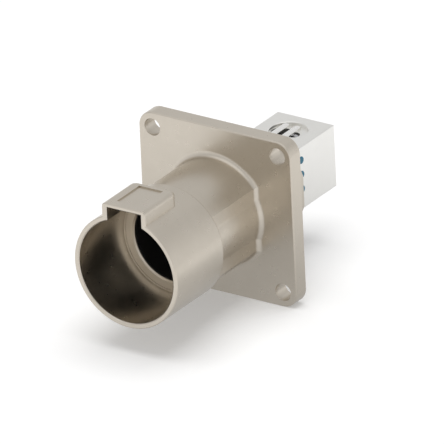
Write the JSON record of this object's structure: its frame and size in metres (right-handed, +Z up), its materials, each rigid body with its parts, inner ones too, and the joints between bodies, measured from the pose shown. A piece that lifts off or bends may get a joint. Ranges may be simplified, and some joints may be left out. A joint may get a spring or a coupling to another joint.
{
  "type": "busbar power connector",
  "caption": "Bulkhead power connector: square flange, keyed round mating tube in front, silver-plated square terminal block with a busbar clip behind.",
  "frame": {"origin": "centre of the flange rear face, in the middle of its four holes, on the connector axis", "axes": "+Y along the connector axis from the mating tube to the terminal block, +Z up to the key, +X to the right seen from the mating side"},
  "size_m": [0.065, 0.1185, 0.065],
  "materials": {
    "nickel_casting": "satin nickel plate on a die casting",
    "black_moulding": "fine-textured black moulding",
    "guard_moulding": "smooth black moulding",
    "silver_plate": "matte silver plate on copper",
    "seal_rubber": "smooth black rubber",
    "zinc_steel": "bright zinc plate",
    "nickel_brass": "nickel plate",
    "spring_steel": "bright rolled spring steel",
    "blue_moulding": "smooth blue moulding",
    "dark_steel": "black oxide"
  },
  "bodies": {
    "root": {"shell": "nickel_casting", "front_insulator": "black_moulding", "rear_insulator": "black_moulding", "contact_pin": "silver_plate", "touch_guard": "guard_moulding", "front_seal": "seal_rubber", "rear_seal": "seal_rubber", "pin_seal": "seal_rubber", "panel_seal": "seal_rubber", "plain_washer": "zinc_steel", "spring_washer": "zinc_steel", "stud_nut": "nickel_brass", "terminal_block": "silver_plate", "busbar_clip": "silver_plate", "clip_spring": "spring_steel", "lock_plugs": "blue_moulding", "grub_screw": "dark_steel"}
  },
  "joints": []
}
